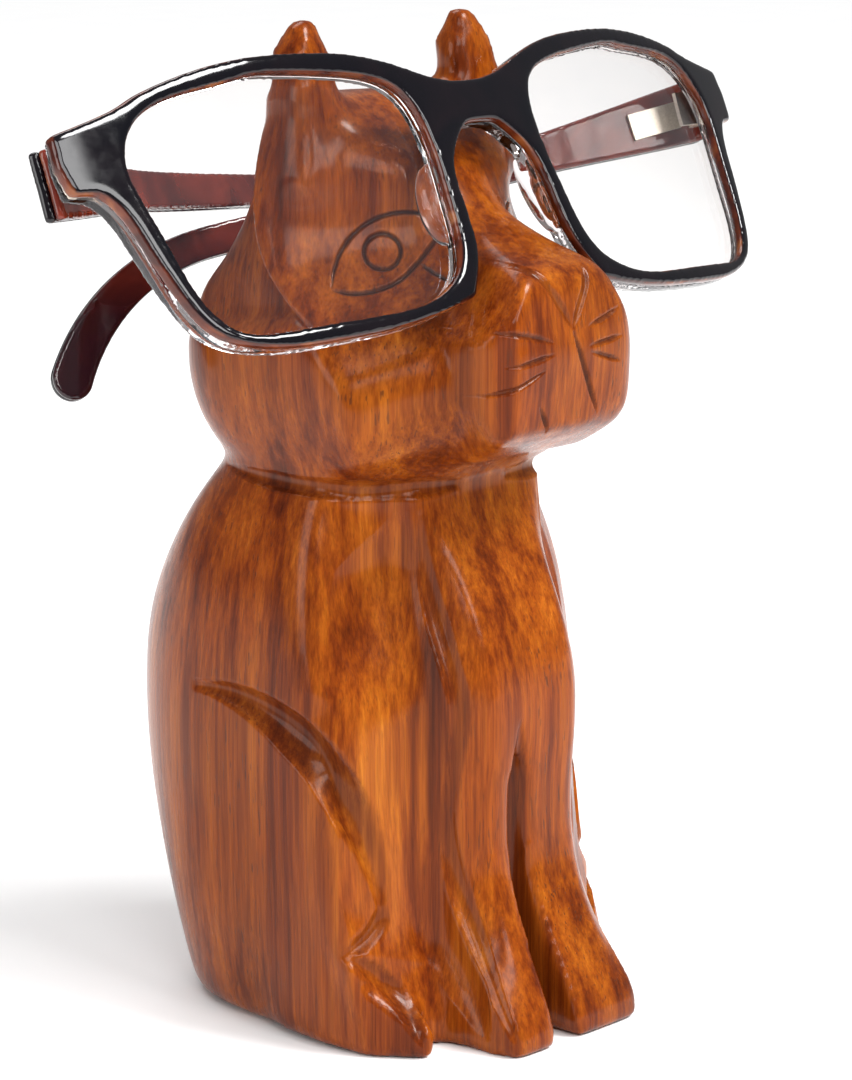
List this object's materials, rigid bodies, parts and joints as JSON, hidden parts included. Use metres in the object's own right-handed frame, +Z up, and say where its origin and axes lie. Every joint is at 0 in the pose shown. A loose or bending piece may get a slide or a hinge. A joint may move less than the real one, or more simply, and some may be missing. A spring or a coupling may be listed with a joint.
{
  "type": "eyeglasses display stand",
  "caption": "Hand-carved wooden seated cat that holds a pair of folded eyeglasses on its snout, with eyeglasses that lift off and temples that open.",
  "frame": {"origin": "middle of the underside of the cat's base, on its middle plane", "axes": "+Z up from the surface it stands on, -Y the way the cat and the lenses face, +X to the cat's left"},
  "size_m": [0.1408, 0.0791, 0.1485],
  "materials": {
    "rosewood": "glossy lacquered red-brown rosewood",
    "dark_acetate": "polished near-black tortoise acetate",
    "red_acetate": "polished translucent red-brown acetate",
    "clear_acetate": "polished crystal-clear acetate",
    "lens": "clear coated lens",
    "hinge_metal": "plated hinge metal"
  },
  "bodies": {
    "stand": {"carved_cat": "rosewood"},
    "eyewear_front": {"front_frame": "dark_acetate", "clear_back_layer": "clear_acetate", "lens_right": "lens", "lens_left": "lens", "hinge_right_front_leaf": "hinge_metal", "hinge_left_front_leaf": "hinge_metal", "hinge_right_screw": "hinge_metal", "hinge_left_screw": "hinge_metal"},
    "temple_right": {"temple_right_outer": "dark_acetate", "temple_right_inner": "red_acetate", "hinge_right_temple_leaf": "hinge_metal"},
    "temple_left": {"temple_left_outer": "dark_acetate", "temple_left_inner": "red_acetate", "hinge_left_temple_leaf": "hinge_metal"}
  },
  "joints": [
    {"name": "eyewear_lift", "type": "slide", "parent": "stand", "child": "eyewear_front", "axis": [0, 0, 1], "range_m": [0, 0.07]},
    {"name": "temple_right_hinge", "type": "hinge", "parent": "eyewear_front", "child": "temple_right", "pos_m": [-0.0654, 0.01068, 0.12938], "axis": [0, 0.342, 0.9397], "range_deg": [0, 61]},
    {"name": "temple_left_hinge", "type": "hinge", "parent": "eyewear_front", "child": "temple_left", "pos_m": [0.0654, 0.01068, 0.12938], "axis": [0, -0.342, -0.9397], "range_deg": [0, 61]}
  ],
  "couplings": [
    {"joint": "temple_left_hinge", "follows": "temple_right_hinge", "ratio": 1}
  ]
}
